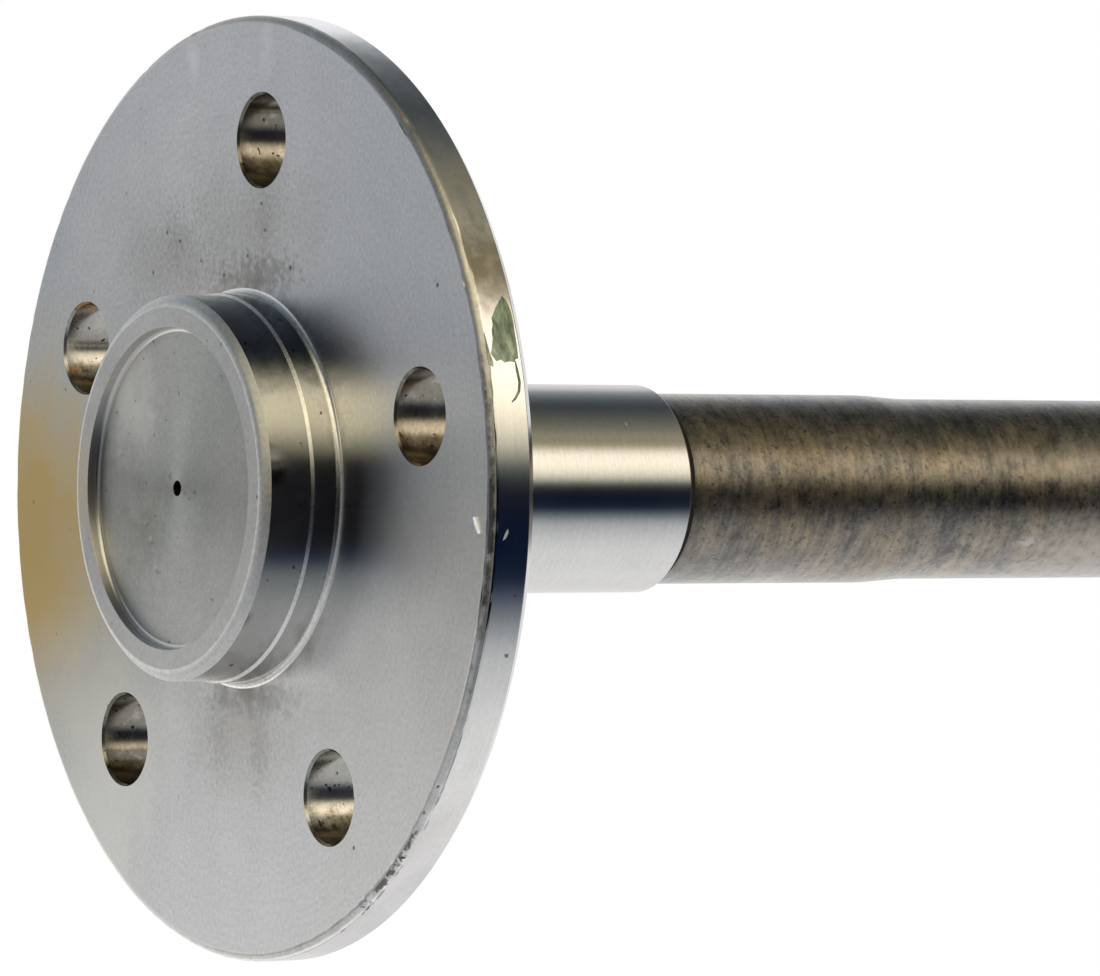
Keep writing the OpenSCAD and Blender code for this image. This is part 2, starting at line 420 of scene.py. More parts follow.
def stain_and_painted_light(material, centre, half, soft, colour, strength=1.0, how="MIX", ragged=0.5, grain=120.0):
    tree = material.node_tree
    spot = place(tree, "ShaderNodeTexCoord").outputs["Object"]
    away = vectors(tree, "SUBTRACT", spot, tuple(c * MM for c in centre))
    away = vectors(tree, "DIVIDE", away, tuple(h * MM for h in half))
    reach = place(tree, "ShaderNodeVectorMath", {0: away}, operation="LENGTH").outputs["Value"]
    rag = remap(tree, noise(tree, spot, grain, detail=5.0, roughness=0.6), 0.3, 0.7, -ragged, ragged)
    share = remap(tree, sums(tree, "ADD", reach, rag), 1.0, 1.0 - soft, 0.0, strength)
    tint(material, share, colour, how)


def specks(material, scale, most, colour, grain=2.0):
    tree = material.node_tree
    spot = place(tree, "ShaderNodeTexCoord").outputs["Object"]
    share = remap(tree, noise(tree, spot, scale, grain), most, most + 0.05, 0.0, 1.0)
    tint(material, share, colour)


def give_finish(material, belongs):
    shaft.data.materials.append(material)
    index = len(shaft.data.materials) - 1
    for face in shaft.data.polygons:
        if belongs(face.center.y, math.hypot(face.center.x, face.center.z), face):
            face.material_index = index


# Stains and patches of painted light are placed in millimetres, and one that reaches right through the metal
# is this deep.
deep = 1000.0
face_steel = turned_steel(
    "turned_face", colour=(0.61, 0.615, 0.625), roughness=0.25, spread=0.86, speckle=0.08)
stain_and_painted_light(
    face_steel, centre=(-66.0, 0.0, -6.0), half=(42.0, deep, 40.0), soft=0.9, colour=(0.86, 0.74, 0.53),
    strength=0.75, ragged=0.2, grain=60.0)
stain_and_painted_light(
    face_steel, centre=(-72.0, 0.0, -7.0), half=(32.0, deep, 30.0), soft=0.7, colour=(0.78, 0.57, 0.25),
    strength=1.0, ragged=0.2, grain=60.0)
stain_and_painted_light(
    face_steel, centre=(-46.0, 0.0, -44.0), half=(30.0, deep, 26.0), soft=0.9, colour=(0.76, 0.755, 0.71),
    strength=0.9, ragged=0.3, grain=60.0)
smudges = ((2.0, 43.0, 24.0, 15.0), (-24.0, 37.0, 20.0, 13.0), (-1.0, -39.0, 22.0, 13.0))
for smudge_x, smudge_z, half_x, half_z in smudges:
    stain_and_painted_light(
        face_steel, centre=(smudge_x, 0.0, smudge_z), half=(half_x, deep, half_z), soft=0.95,
        colour=(0.83, 0.815, 0.775), strength=0.75, how="MULTIPLY", ragged=0.35, grain=80.0)
    stain_and_painted_light(
        face_steel, centre=(smudge_x, 0.0, smudge_z), half=(half_x, deep, half_z), soft=0.9,
        colour=(0.6, 0.58, 0.54), strength=0.24, how="MULTIPLY", ragged=0.9, grain=1100.0)
trails = ((7.0, 43.0, 4.0, 9.0), (-22.0, 41.0, 4.0, 6.0), (-7.0, -41.0, 4.0, 8.0), (6.0, -43.0, 3.5, 8.0))
for trail_x, trail_z, half_x, half_z in trails:
    stain_and_painted_light(
        face_steel, centre=(trail_x, 0.0, trail_z), half=(half_x, deep, half_z), soft=0.9,
        colour=(0.5, 0.48, 0.44), strength=0.3, how="MULTIPLY", ragged=1.0, grain=900.0)
# Dirt and painted shade: a darker band on the face round the pilot's root, in the corner.
stain_and_painted_light(
    face_steel, centre=(0.0, 0.0, 0.0), half=(35.5, deep, 35.5), soft=0.12, colour=(0.62, 0.6, 0.56),
    strength=0.8, how="MULTIPLY", ragged=0.1)
# Painted shadow: a dark crescent on the face below the pilot's root.
stain_and_painted_light(
    face_steel, centre=(4.0, 0.0, -34.2), half=(17.0, deep, 3.8), soft=0.8, colour=(0.52, 0.52, 0.51),
    strength=0.65, how="MULTIPLY", ragged=0.5, grain=500.0)
# Painted reflection: a dark, bluish patch on the face to the right of the pilot stands for the pilot's dark
# side mirrored in it.
stain_and_painted_light(
    face_steel, centre=(46.0, 0.0, 1.0), half=(26.0, deep, 22.0), soft=0.95, colour=(0.76, 0.775, 0.81),
    strength=1.0, how="MULTIPLY", ragged=0.15, grain=60.0)
stain_and_painted_light(
    face_steel, centre=(6.0, 0.0, 35.0), half=(15.0, deep, 4.0), soft=0.7, colour=(0.5, 0.49, 0.46),
    strength=0.7, how="MULTIPLY", ragged=0.7, grain=600.0)
for pale, half in (((-15.7, 0.0, 71.0), (2.5, deep, 4.5)), ((8.2, 0.0, 72.0), (2.6, deep, 6.0))):
    stain_and_painted_light(
        face_steel, centre=pale, half=half, soft=0.95, colour=(0.8, 0.81, 0.82), strength=0.55, ragged=0.4,
        grain=300.0)
dots = (
    (-5.5, 35.1), (15.9, 35.8), (61.3, 32.0), (4.8, 49.5), (2.1, 38.0), (-20.0, 41.0),
    (36.0, -57.5), (-24.5, 42.5), (-13.0, 37.5), (-29.0, 36.0), (6.5, 46.5), (7.8, 42.0))
for dot_x, dot_z in dots:
    stain_and_painted_light(
        face_steel, centre=(dot_x, 0.0, dot_z), half=(0.42, deep, 0.4), soft=0.5,
        colour=(0.08, 0.07, 0.06), strength=0.9, ragged=0.4, grain=900.0)
specks(face_steel, scale=620.0, most=0.72, colour=(0.3, 0.29, 0.27))
give_finish(face_steel, lambda along, across, face: along < rim_front_chamfer)

# The pilot that centres the drum and the wheel: its sides turned to a close size and shiny.
# Its end is a rougher facing cut, with an edge rubbed round by wheels going on and off.
pilot_steel = turned_steel("turned_pilot", colour=(0.8, 0.785, 0.75), roughness=0.12, spread=0.3)
# Painted reflection: the upper right of the pilot's side is darkened to a bluish grey, standing for a dark
# reflection.
stain_and_painted_light(
    pilot_steel, centre=(18.0, 0.0, 27.0), half=(20.0, deep, 15.0), soft=0.6, colour=(0.3, 0.32, 0.36),
    strength=0.9, how="MULTIPLY", ragged=0.25, grain=300.0)
# Painted shade: a small dark patch on the pilot's right side near its end deepens the dark band there.
stain_and_painted_light(
    pilot_steel, centre=(31.4, -11.9, 2.4), half=(deep, 3.0, 2.8), soft=0.6, colour=(0.25, 0.25, 0.26),
    strength=1.0, how="MULTIPLY", ragged=0.2, grain=300.0)
specks(pilot_steel, scale=650.0, most=0.69, colour=(0.09, 0.08, 0.06))
give_finish(pilot_steel, lambda along, across, face: along < -0.5 * MM)
step_steel = turned_steel(
    "cut_step", colour=(0.97, 0.96, 0.93), roughness=0.28, spread=0.0, cloud=0.12, speckle=0.16)
give_finish(step_steel, lambda along, across, face: (
    drum_pilot_front - pilot_step - 0.03 * MM < along < drum_pilot_front + 0.03 * MM
    or -pilot_root_radius < along < -0.001 * MM))
pilot_end_steel = turned_steel(
    "faced_pilot_end", colour=(0.54, 0.54, 0.53), roughness=0.38, spread=0.4, cloud=0.08, speckle=0.08)
specks(pilot_end_steel, scale=420.0, most=0.7, colour=(0.2, 0.18, 0.15))
stain_and_painted_light(
    pilot_end_steel, centre=(-29.0, -14.0, 0.0), half=(5.0, deep, 14.0), soft=0.8,
    colour=(0.62, 0.55, 0.42), strength=0.7)
give_finish(pilot_end_steel, lambda along, across, face: (
    along < pilot_front + pilot_chamfer - 0.01 * MM and across > recess_radius - 0.01 * MM))
rubbed_steel = turned_steel(
    "rubbed_edge", colour=(0.82, 0.82, 0.81), roughness=0.5, spread=0.0, cloud=0.08, speckle=0.1)
give_finish(rubbed_steel, lambda along, across, face: (
    pilot_front + 0.003 * MM < along < pilot_front + pilot_chamfer + 0.05 * MM
    and across > wheel_pilot_radius - pilot_chamfer - soft_edge))

# The shallow recess in the pilot's end: faced in one cut, darker and mottled by handling.
# Its wall is smooth from the corner of the tool, and painted shade makes the lathe's centre hole near-black.
recess_steel = turned_steel(
    "faced_recess", colour=(0.46, 0.465, 0.45), roughness=0.36, spread=0.72, cloud=0.1, lines=0.05,
    speckle=0.08)
stain_and_painted_light(
    recess_steel, centre=(2.0, 0.0, 1.0), half=(20.0, deep, 17.0), soft=0.9, colour=(0.85, 0.86, 0.84),
    strength=0.9, how="MULTIPLY", ragged=0.4, grain=90.0)
stain_and_painted_light(
    recess_steel, centre=(-10.0, 0.0, -8.0), half=(8.0, deep, 10.0), soft=0.9, colour=(0.78, 0.77, 0.73),
    strength=0.6, how="MULTIPLY", ragged=0.8, grain=300.0)
# Painted highlight and shade: each dent is a pale spot with a dark spot beside it; the surface itself is not
# dented.
for dent_x, dent_z in ((-14.9, 11.8), (-18.9, 5.9), (-10.6, -5.6), (-8.9, -8.4), (-7.0, -13.0)):
    stain_and_painted_light(
        recess_steel, centre=(dent_x, 0.0, dent_z), half=(0.8, deep, 0.6), soft=0.8,
        colour=(0.58, 0.57, 0.54), strength=0.7, ragged=0.9, grain=900.0)
    stain_and_painted_light(
        recess_steel, centre=(dent_x + 0.7, 0.0, dent_z - 0.5), half=(0.8, deep, 0.5), soft=0.8,
        colour=(0.22, 0.22, 0.2), strength=0.7, ragged=0.9, grain=900.0)
stain_and_painted_light(
    recess_steel, centre=(-17.0, 0.0, 15.0), half=(12.0, deep, 13.0), soft=0.9, colour=(0.68, 0.665, 0.63),
    strength=0.9, ragged=0.3, grain=200.0)
specks(recess_steel, scale=700.0, most=0.7, colour=(0.26, 0.26, 0.23))
give_finish(recess_steel, lambda along, across, face: (
    along < 0.0 and across < recess_radius - recess_corner + 0.02 * MM))
wall_steel = turned_steel("recess_wall", colour=(0.74, 0.725, 0.7), roughness=0.3, spread=0.2)
give_finish(wall_steel, lambda along, across, face: (
    pilot_front + 0.02 * MM < along < recess_floor - 0.01 * MM
    and recess_radius - recess_corner + 0.01 * MM < across < recess_radius + 0.01 * MM))
# Painted shade: the centre hole's cone and drilling are near-black.
centre_hole_shade = turned_steel("centre_hole_painted_shade", colour=(0.012, 0.011, 0.01), roughness=0.6, spread=0.0)
give_finish(centre_hole_shade, lambda along, across, face: (
    recess_floor + 0.15 * MM < along < recess_floor + pilot_center_depth + pilot_drill
    and across < pilot_cone))

# The rim and the back of the flange: turned, the rim with a finer feed than the back.
# Hands have left brown smudges on the upper rim, and the back slopes down to a wide fillet.
rim_steel = turned_steel("turned_rim", colour=(0.75, 0.745, 0.73), roughness=0.15, spread=0.3)
# Painted highlight: a pale cream patch on the upper right of the rim.
stain_and_painted_light(
    rim_steel, centre=(58.0, 0.0, 50.0), half=(12.0, deep, 16.0), soft=0.9, colour=(0.97, 0.9, 0.82),
    strength=0.9, ragged=0.7, grain=300.0)
stain_and_painted_light(
    rim_steel, centre=(68.5, 0.0, 35.0), half=(7.0, deep, 10.0), soft=0.8, colour=(0.6, 0.56, 0.5),
    strength=0.95, how="MULTIPLY", ragged=0.5, grain=320.0)
stain_and_painted_light(
    rim_steel, centre=(36.0, 0.0, 69.0), half=(12.0, deep, 7.0), soft=0.9, colour=(0.75, 0.73, 0.7),
    strength=0.6, how="MULTIPLY", ragged=1.0, grain=260.0)
# Painted highlight: the top of the rim is whitened.
stain_and_painted_light(
    rim_steel, centre=(18.0, 0.0, 78.0), half=(24.0, deep, 14.0), soft=0.6, colour=(0.98, 0.98, 1.0),
    strength=1.0, ragged=0.3, grain=200.0)
# Painted shade: the rim is darker towards the bottom.
stain_and_painted_light(
    rim_steel, centre=(30.0, 0.0, -90.0), half=(deep, deep, 58.0), soft=0.8, colour=(0.64, 0.64, 0.65),
    strength=1.0, how="MULTIPLY", ragged=0.1)
specks(rim_steel, scale=600.0, most=0.74, colour=(0.25, 0.22, 0.18))
give_finish(rim_steel, lambda along, across, face: (
    0.2 * MM < along < flange_back + 0.01 * MM and across > flange_radius - rim_back_chamfer - broken))
back_steel = turned_steel("turned_back", colour=(0.5, 0.495, 0.485), roughness=0.34, spread=0.6)
give_finish(back_steel, lambda along, across, face: (
    flange_back - 0.1 * MM < along < hub_end + hub_fillet
    and journal_radius + 0.02 * MM < across < flange_radius - rim_back_chamfer + 0.01 * MM))

# The chamfer between the face and the rim: dull from knocks, with dirt packed in the small dents.
# The dirt is thickest at the right and at the lower right.
edge_steel = turned_steel(
    "worn_edge", colour=(0.94, 0.93, 0.9), roughness=0.42, spread=0.0, cloud=0.1, speckle=0.1)
stain_and_painted_light(
    edge_steel, centre=(40.0, 0.0, 64.0), half=(deep, deep, 58.0), soft=0.6, colour=(0.72, 0.7, 0.66),
    strength=1.0, how="MULTIPLY", ragged=0.2)
specks(edge_steel, scale=520.0, most=0.68, colour=(0.15, 0.12, 0.09), grain=5.0)
stain_and_painted_light(
    edge_steel, centre=(76.0, 0.35, -4.0), half=(deep, 0.6, 24.0), soft=0.7, colour=(0.12, 0.11, 0.11),
    strength=0.9, ragged=0.6, grain=420.0)
stain_and_painted_light(
    edge_steel, centre=(47.0, 0.3, -61.0), half=(11.0, 0.8, 7.0), soft=0.8, colour=(0.08, 0.07, 0.06),
    strength=0.8, ragged=1.5, grain=850.0)
give_finish(edge_steel, lambda along, across, face: (
    0.005 * MM < along < rim_front_chamfer + 0.1 * MM
    and across > flange_radius - rim_front_chamfer - 0.1 * MM))

# The ground journal: the bearing rollers and the oil seal run straight on it.
# It is ground to a bright finish, up to the sharp edge at its inner end.
journal_steel = turned_steel(
    "ground_journal", colour=(0.6, 0.6, 0.59), roughness=0.18, spread=0.2, cloud=0.04, lines=0.04)
stain_and_painted_light(
    journal_steel, centre=(13.8, 66.3, 10.8), half=(0.5, 0.35, 0.5), soft=0.5, colour=(0.95, 0.95, 0.95),
    strength=1.0, ragged=0.2, grain=900.0)
give_finish(journal_steel, lambda along, across, face: (
    hub_end < along < journal_end - 0.01 * MM and across < journal_radius + 0.02 * MM))

# The walls of the stud holes: drilled and reamed, with fine lines along the hole.
# Old oil has dried brown and black on the lower side of each, where it ran down.
bore_steel = turned_steel(
    "drilled_bore", colour=(0.62, 0.6, 0.55), roughness=0.2, spread=0.0, cloud=0.15, speckle=0.1)
stain_and_painted_light(
    bore_steel, centre=(6.5, 0.0, 57.0), half=(12.0, deep, 12.0), soft=0.3, colour=(0.5, 0.47, 0.42),
    strength=0.95, how="MULTIPLY", ragged=0.3, grain=300.0)
stain_and_painted_light(
    bore_steel, centre=(-38.6, 0.0, -42.1), half=(12.0, deep, 12.0), soft=0.3, colour=(0.55, 0.52, 0.47),
    strength=0.9, how="MULTIPLY", ragged=0.3, grain=300.0)
stain_and_painted_light(
    bore_steel, centre=(56.0, 0.0, 11.0), half=(12.0, deep, 12.0), soft=0.3, colour=(0.53, 0.49, 0.43),
    strength=0.9, how="MULTIPLY", ragged=0.3, grain=300.0)
tree = bore_steel.node_tree
tree.nodes["Principled BSDF"].inputs["Metallic"].default_value = 0.9
spot = place(tree, "ShaderNodeTexCoord").outputs["Object"]
facing = place(tree, "ShaderNodeNewGeometry").outputs["True Normal"]
lower = place(tree, "ShaderNodeSeparateXYZ", {0: facing}).outputs["Z"]
run = noise(tree, spot, scale=480.0, detail=6.0, roughness=0.7)
shaded = remap(tree, lower, -0.1, -0.6, 0.0, 1.0)
tint(bore_steel, shaded, (0.62, 0.63, 0.63), "MULTIPLY")
oiled = sums(tree, "ADD", remap(tree, lower, 0.0, 0.9, -0.35, 0.85), remap(tree, run, 0.3, 0.7, -0.5, 0.5))
tint(bore_steel, remap(tree, oiled, 0.0, 0.7, 0.0, 1.0), (0.17, 0.11, 0.045))
black = sums(tree, "ADD", remap(tree, lower, 0.55, 1.0, -0.3, 1.0), remap(tree, run, 0.3, 0.7, 0.3, -0.3))
tint(bore_steel, remap(tree, black, 0.0, 1.0, 0.0, 1.0), (0.03, 0.024, 0.014))
stain_and_painted_light(
    bore_steel, centre=(-52.0, 4.0, 31.5), half=(6.0, deep, 2.2), soft=0.7, colour=(0.5, 0.2, 0.03),
    strength=0.9, ragged=0.4, grain=300.0)
stain_and_painted_light(
    bore_steel, centre=(57.5, 5.0, 5.0), half=(5.0, deep, 3.0), soft=0.8, colour=(0.42, 0.2, 0.05),
    strength=0.8, ragged=0.8, grain=400.0)
specks(bore_steel, scale=800.0, most=0.66, colour=(0.05, 0.04, 0.03))
give_finish(bore_steel, lambda along, across, face: (
    0.02 * MM < along < hub_start and abs(face.normal.y) < 0.8
    and min((face.center - centre - Vector((0.0, along, 0.0))).length for centre in stud_centres)
    < stud_hole + countersink))

# The as-forged bar: left as rolled and hardened, with thin brown-black scale under a film of oil.
# Rolling and straightening left slightly slanted marks round it, and the scale is pitted.
# Dirt has packed into the shoulder beside the journal, and painted shadow darkens the shoulder and the bar
# beside it.
scale_steel = bpy.data.materials.new("forged_scale")
scale_steel.use_nodes = True
tree = scale_steel.node_tree
shader = tree.nodes["Principled BSDF"]
spot, _, fine_marks = lathe_lines(tree, along=1000.0, around=1.8, slant=6.0)
_, _, wide_marks = lathe_lines(tree, along=300.0, around=1.1, slant=6.0)
streak = noise(tree, fine_marks, scale=1.0, detail=5.0, roughness=0.6)
rings = noise(tree, wide_marks, scale=1.0, detail=3.0, roughness=0.6)
warm = noise(tree, spot, scale=55.0, detail=3.0)
mottle = noise(tree, spot, scale=1500.0, detail=6.0, roughness=0.75)
blotch = noise(tree, spot, scale=420.0, detail=5.0, roughness=0.65)
patch = noise(tree, spot, scale=110.0, detail=4.0)
pit = noise(tree, spot, scale=800.0, detail=4.0, roughness=0.7)
share = sums(tree, "ADD", sums(tree, "MULTIPLY", streak, 0.9), sums(tree, "MULTIPLY", mottle, 1.1))
share = sums(tree, "ADD", sums(tree, "ADD", share, blotch), sums(tree, "MULTIPLY", patch, 0.5))
share = sums(tree, "ADD", share, sums(tree, "MULTIPLY", rings, 0.9))
share = remap(tree, share, 1.88, 2.52, 0.0, 1.0)
warmed = remap(tree, warm, 0.4, 0.62, 0.0, 1.0)
pale = blend_colour(tree, warmed, (0.235, 0.205, 0.16), (0.265, 0.205, 0.115))
tone = blend_colour(tree, share, (0.03, 0.025, 0.018), pale)
pitted = remap(tree, pit, 0.57, 0.65, 0.0, 1.0)
tree.links.new(blend_colour(tree, pitted, tone, (0.018, 0.015, 0.011)), shader.inputs["Base Color"])
tree.links.new(remap(tree, blotch, 0.35, 0.65, 1.0, 0.6), shader.inputs["Metallic"])
tree.links.new(remap(tree, share, 0.0, 1.0, 0.37, 0.29), shader.inputs["Roughness"])
shader.inputs["Coat Weight"].default_value = 1.0
shader.inputs["Coat Roughness"].default_value = 0.26
shader.inputs["Coat IOR"].default_value = 1.7
relief = sums(tree, "SUBTRACT", share, pitted)
bump = place(tree, "ShaderNodeBump", {"Height": relief, "Strength": 0.3, "Distance": 0.06 * MM})
tree.links.new(bump.outputs["Normal"], shader.inputs["Normal"])
stain_and_painted_light(
    scale_steel, centre=(13.1, 149.8, -8.9), half=(2.4, 1.7, 0.9), soft=0.7, colour=(0.42, 0.4, 0.38),
    strength=0.8, ragged=1.0, grain=700.0)
stain_and_painted_light(
    scale_steel, centre=(9.4, 150.3, -12.7), half=(0.8, 0.6, 0.8), soft=0.5, colour=(0.02, 0.018, 0.015),
    strength=0.9, ragged=0.4, grain=900.0)
# Dirt and painted shadow: a near-black band round the bar beside the journal's shoulder.
stain_and_painted_light(
    scale_steel, centre=(0.0, 77.0, 0.0), half=(deep, 3.4, deep), soft=0.7, colour=(0.02, 0.017, 0.013),
    strength=1.0, ragged=0.4, grain=400.0)
# Painted reflection: the lower side of the bar near the journal is lightened.
stain_and_painted_light(
    scale_steel, centre=(12.0, 172.0, -11.0), half=(deep, 38.0, 11.0), soft=0.9,
    colour=(0.37, 0.34, 0.295), strength=0.75, ragged=0.5, grain=520.0)
# Painted reflection: a warm tan band just above the bar's axis stands for the warm light mirrored in it.
stain_and_painted_light(
    scale_steel, centre=(15.0, 172.0, 4.5), half=(deep, 40.0, 4.5), soft=0.9, colour=(0.33, 0.28, 0.2),
    strength=0.6, ragged=0.7, grain=300.0)
stain_and_painted_light(
    scale_steel, centre=(11.5, 132.0, 11.0), half=(7.0, 15.0, 4.5), soft=0.8, colour=(0.5, 0.5, 0.5),
    strength=0.8, how="MULTIPLY", ragged=0.8, grain=260.0)
stain_and_painted_light(
    scale_steel, centre=(15.7, 144.0, -1.8), half=(6.0, 15.0, 2.6), soft=0.8, colour=(0.5, 0.5, 0.5),
    strength=0.8, how="MULTIPLY", ragged=0.8, grain=260.0)
give_finish(scale_steel, lambda along, across, face: journal_end - 0.01 * MM < along < runout_start)
# Dirt and painted shade: the shoulder and the start of the neck are near-black and dull.
shoulder_grime_and_shade = turned_steel(
    "shoulder_dirt_and_painted_shade", colour=(0.02, 0.018, 0.015), roughness=0.65, spread=0.0, cloud=0.3, speckle=0.3)
shader = shoulder_grime_and_shade.node_tree.nodes["Principled BSDF"]
shader.inputs["Metallic"].default_value = 0.0
shader.inputs["Specular IOR Level"].default_value = 0.2
give_finish(shoulder_grime_and_shade, lambda along, across, face: (
    journal_end + 0.05 * MM < along < journal_end + dirt_and_shade_reach and across < journal_radius))

# The spline, the clip groove and the button: machined after forging and left lightly oiled.
# The hob leaves the flanks smooth and a little darker than the turned ends.
spline_steel = turned_steel("hobbed_spline", colour=(0.5, 0.49, 0.47), roughness=0.28, spread=0.2)
give_finish(spline_steel, lambda along, across, face: along > runout_start)

# Paint on the rim: a dab and a sliver of green, brushed on at inspection and chipped since, and a
# fleck of white. Each is a thin film: a flat outline, given as the height up the rim and the place
# across it in millimetres, laid round the rim and raised by the thickness of the paint.
film = 0.06 * MM
dab_lift = 0.01 * MM
dab_weld = 0.04 * MM
dab_smallest = 0.02 * MM
dab_outlines = {
    "paint_dab": [
        (31.0, 5.7), (30.1, 5.0), (29.0, 4.1), (28.2, 3.6), (27.2, 3.0), (26.2, 3.0), (25.2, 2.6),
        (23.8, 2.5), (22.4, 2.1), (21.4, 1.7), (20.6, 2.2), (20.1, 2.6), (20.4, 3.5), (19.9, 4.0),
        (20.1, 5.0), (20.0, 6.1), (18.6, 6.3), (16.8, 6.5), (15.2, 6.2), (14.0, 5.3), (13.5, 4.6),
        (13.7, 4.5), (14.3, 5.1), (15.4, 5.8), (16.8, 6.1), (18.6, 5.9), (20.3, 5.9), (20.6, 6.6),
        (22.6, 6.7), (24.5, 6.7), (26.5, 6.8), (28.5, 6.7), (30.0, 6.4)],
    "paint_sliver": [
        (25.2, 1.0), (23.6, 1.05), (22.2, 1.0), (20.8, 1.0), (19.5, 1.1), (19.2, 1.8), (19.9, 1.9),
        (21.4, 1.5), (23.0, 1.3)],
    "paint_fleck_rim": [(-6.3, 3.2), (-6.9, 3.3), (-7.7, 2.9), (-8.1, 2.4), (-7.6, 2.5), (-6.9, 2.8)],
}
paint = bpy.data.materials.new("inspection_paint")
paint.use_nodes = True
tree = paint.node_tree
shader = tree.nodes["Principled BSDF"]
spot = place(tree, "ShaderNodeTexCoord").outputs["Object"]
brushed = vectors(tree, "MULTIPLY", spot, (300.0, 900.0, 300.0))
patch = noise(tree, brushed, scale=1.0, detail=6.0, roughness=0.65)
tone = blend_colour(tree, remap(tree, patch, 0.38, 0.58, 0.0, 1.0), (0.13, 0.185, 0.1), (0.44, 0.57, 0.4))
# Painted highlight: the palest streaks stand for the glossy paint catching the light.
tone = blend_colour(tree, remap(tree, patch, 0.57, 0.64, 0.0, 1.0), tone, (0.75, 0.8, 0.66))
tree.links.new(tone, shader.inputs["Base Color"])
shader.inputs["Roughness"].default_value = 0.22
bump = place(tree, "ShaderNodeBump", {"Height": patch, "Strength": 0.5, "Distance": 0.2 * MM})
tree.links.new(bump.outputs["Normal"], shader.inputs["Normal"])
fleck_paint = bpy.data.materials.new("white_paint")
fleck_paint.use_nodes = True
tree = fleck_paint.node_tree
shader = tree.nodes["Principled BSDF"]
spot = place(tree, "ShaderNodeTexCoord").outputs["Object"]
tone = blend_colour(tree, noise(tree, spot, 1500.0), (0.48, 0.5, 0.54), (0.8, 0.82, 0.86))
tree.links.new(tone, shader.inputs["Base Color"])
shader.inputs["Roughness"].default_value = 0.4
for name, outline in dab_outlines.items():
    dab = bmesh.new()
    dab.faces.new([dab.verts.new((height * MM, across * MM, 0.0)) for height, across in outline])
    bmesh.ops.triangulate(dab, faces=dab.faces[:])
    heights = [height for height, across in outline]
    for cut in range(math.ceil(min(heights)), math.ceil(max(heights))):
        bmesh.ops.bisect_plane(
            dab, geom=dab.verts[:] + dab.edges[:] + dab.faces[:],
            plane_co=(cut * MM, 0.0, 0.0), plane_no=(1.0, 0.0, 0.0))
    bmesh.ops.remove_doubles(dab, verts=dab.verts[:], dist=dab_weld)
    bmesh.ops.dissolve_degenerate(dab, dist=dab_smallest, edges=dab.edges[:])
    reach = flange_radius + dab_lift
    for v in dab.verts:
        turn = v.co.x / flange_radius
        v.co = Vector((math.cos(turn) * reach, v.co.y, math.sin(turn) * reach))
    bmesh.ops.recalc_face_normals(dab, faces=dab.faces[:])
    if sum(f.normal.x * f.calc_area() for f in dab.faces) < 0.0:
        bmesh.ops.reverse_faces(dab, faces=dab.faces[:])
    raised = bmesh.ops.extrude_face_region(dab, geom=dab.faces[:])["geom"]
    for v in raised:
        if isinstance(v, bmesh.types.BMVert):
            outward = Vector((v.co.x, 0.0, v.co.z)).normalized()
            v.co += outward * film
    bmesh.ops.recalc_face_normals(dab, faces=dab.faces[:])
    piece = bpy.data.objects.new(name, bpy.data.meshes.new(name))
    dab.to_mesh(piece.data)
    dab.free()
    piece.data.materials.append(fleck_paint if "fleck" in name else paint)
    bpy.context.scene.collection.objects.link(piece)
    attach(piece, "root")

# A bright burr near the right edge of the wheel face, where a knock has lifted a flake of steel.
# It is a thin sloping flake of the same metal, newly bared, and stands a little off the face.
burr_steel = turned_steel("bright_burr", colour=(0.9, 0.9, 0.9), roughness=0.25, spread=0.0)
burr_foot = -7.1 * MM
burr_slope = math.tan(math.radians(4.0))
burr_lift = 0.01 * MM
burr_thickness = 0.06 * MM
burr_outline = ((72.3, -4.5), (73.0, -4.4), (73.7, -5.6), (74.3, -6.9), (73.6, -7.1), (72.8, -6.0))
burr = bmesh.new()
flake = burr.faces.new([burr.verts.new((x * MM, -burr_lift, z * MM)) for x, z in burr_outline])
for v in bmesh.ops.extrude_face_region(burr, geom=[flake])["geom"]:
    if isinstance(v, bmesh.types.BMVert):
        v.co.y -= burr_thickness + (v.co.z - burr_foot) * burr_slope
bmesh.ops.recalc_face_normals(burr, faces=burr.faces[:])
piece = bpy.data.objects.new("face_burr", bpy.data.meshes.new("face_burr"))
burr.to_mesh(piece.data)
burr.free()
piece.data.materials.append(burr_steel)
bpy.context.scene.collection.objects.link(piece)
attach(piece, "root")

